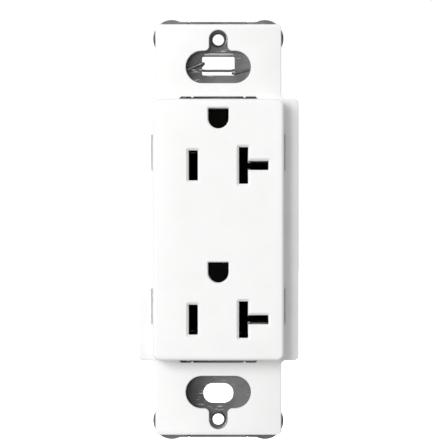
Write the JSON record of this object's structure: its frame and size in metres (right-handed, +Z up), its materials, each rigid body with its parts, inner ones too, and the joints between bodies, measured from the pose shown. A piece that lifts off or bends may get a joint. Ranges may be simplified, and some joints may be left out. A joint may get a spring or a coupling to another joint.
{
  "type": "duplex wall outlet",
  "caption": "Rectangular-faced duplex wall outlet with T-shaped neutral slots, ground holes, steel mounting strap, latched rear body and screw-and-clamp side terminals.",
  "frame": {"origin": "middle of the mounting plane, which is the back of the steel strap, halfway between the two mounting slots", "axes": "+Z up along the long side, -Y out of the wall towards the room, +X to the right as seen from the room"},
  "size_m": [0.0408, 0.033, 0.1068],
  "materials": {
    "white_plastic": "smooth moulded thermoplastic with a satin gloss",
    "grey_plastic": "fine-textured dark moulded thermoplastic",
    "galvanised_steel": "zinc-galvanised stamped steel, dull",
    "brass": "stamped brass, lightly oxidised",
    "nickel_plate": "nickel-plated brass",
    "green_screw": "green-dyed zinc plating",
    "zinc_steel": "bright zinc plating",
    "spring_bronze": "drawn phosphor bronze wire"
  },
  "bodies": {
    "outlet": {"front_cover": "white_plastic", "rear_body": "grey_plastic", "mounting_strap": "galvanised_steel", "hot_contact_bus": "brass", "neutral_contact_bus": "nickel_plate", "ground_contact_strip": "brass", "ground_rivet_upper": "zinc_steel", "ground_rivet_middle": "zinc_steel", "ground_rivet_lower": "zinc_steel", "grounding_clip_wire": "spring_bronze"},
    "hot_clamp_upper_plate": {"hot_clamp_upper": "brass"},
    "hot_screw_upper": {"hot_screw_upper": "brass"},
    "hot_clamp_lower_plate": {"hot_clamp_lower": "brass"},
    "hot_screw_lower": {"hot_screw_lower": "brass"},
    "neutral_clamp_upper_plate": {"neutral_clamp_upper": "nickel_plate"},
    "neutral_screw_upper": {"neutral_screw_upper": "nickel_plate"},
    "neutral_clamp_lower_plate": {"neutral_clamp_lower": "nickel_plate"},
    "neutral_screw_lower": {"neutral_screw_lower": "nickel_plate"},
    "ground_clamp_plate": {"ground_clamp": "zinc_steel"},
    "ground_screw": {"ground_screw": "green_screw"}
  },
  "joints": [
    {"name": "hot_clamp_upper_travel", "type": "slide", "parent": "outlet", "child": "hot_clamp_upper_plate", "axis": [-1, 0, 0], "range_m": [0, 0.00317]},
    {"name": "hot_screw_upper_turn", "type": "hinge", "parent": "hot_clamp_upper_plate", "child": "hot_screw_upper", "pos_m": [-0.0186, 0.0105, 0.0083], "axis": [-1, 0, 0], "range_deg": [0, 1440]},
    {"name": "hot_clamp_lower_travel", "type": "slide", "parent": "outlet", "child": "hot_clamp_lower_plate", "axis": [-1, 0, 0], "range_m": [0, 0.00317]},
    {"name": "hot_screw_lower_turn", "type": "hinge", "parent": "hot_clamp_lower_plate", "child": "hot_screw_lower", "pos_m": [-0.0186, 0.0105, -0.0083], "axis": [-1, 0, 0], "range_deg": [0, 1440]},
    {"name": "neutral_clamp_upper_travel", "type": "slide", "parent": "outlet", "child": "neutral_clamp_upper_plate", "axis": [1, 0, 0], "range_m": [0, 0.00317]},
    {"name": "neutral_screw_upper_turn", "type": "hinge", "parent": "neutral_clamp_upper_plate", "child": "neutral_screw_upper", "pos_m": [0.0186, 0.0105, 0.0083], "axis": [1, 0, 0], "range_deg": [0, 1440]},
    {"name": "neutral_clamp_lower_travel", "type": "slide", "parent": "outlet", "child": "neutral_clamp_lower_plate", "axis": [1, 0, 0], "range_m": [0, 0.00317]},
    {"name": "neutral_screw_lower_turn", "type": "hinge", "parent": "neutral_clamp_lower_plate", "child": "neutral_screw_lower", "pos_m": [0.0186, 0.0105, -0.0083], "axis": [1, 0, 0], "range_deg": [0, 1440]},
    {"name": "ground_clamp_travel", "type": "slide", "parent": "outlet", "child": "ground_clamp_plate", "axis": [1, 0, 0], "range_m": [0, 0.00317]},
    {"name": "ground_screw_turn", "type": "hinge", "parent": "ground_clamp_plate", "child": "ground_screw", "pos_m": [0.0149, 0.0056, 0.0384], "axis": [1, 0, 0], "range_deg": [0, 1440]}
  ],
  "couplings": [
    {"joint": "hot_screw_upper_turn", "follows": "hot_clamp_upper_travel", "rad_per_m": 7915},
    {"joint": "hot_screw_lower_turn", "follows": "hot_clamp_lower_travel", "rad_per_m": 7915},
    {"joint": "neutral_screw_upper_turn", "follows": "neutral_clamp_upper_travel", "rad_per_m": 7915},
    {"joint": "neutral_screw_lower_turn", "follows": "neutral_clamp_lower_travel", "rad_per_m": 7915},
    {"joint": "ground_screw_turn", "follows": "ground_clamp_travel", "rad_per_m": 7915}
  ]
}
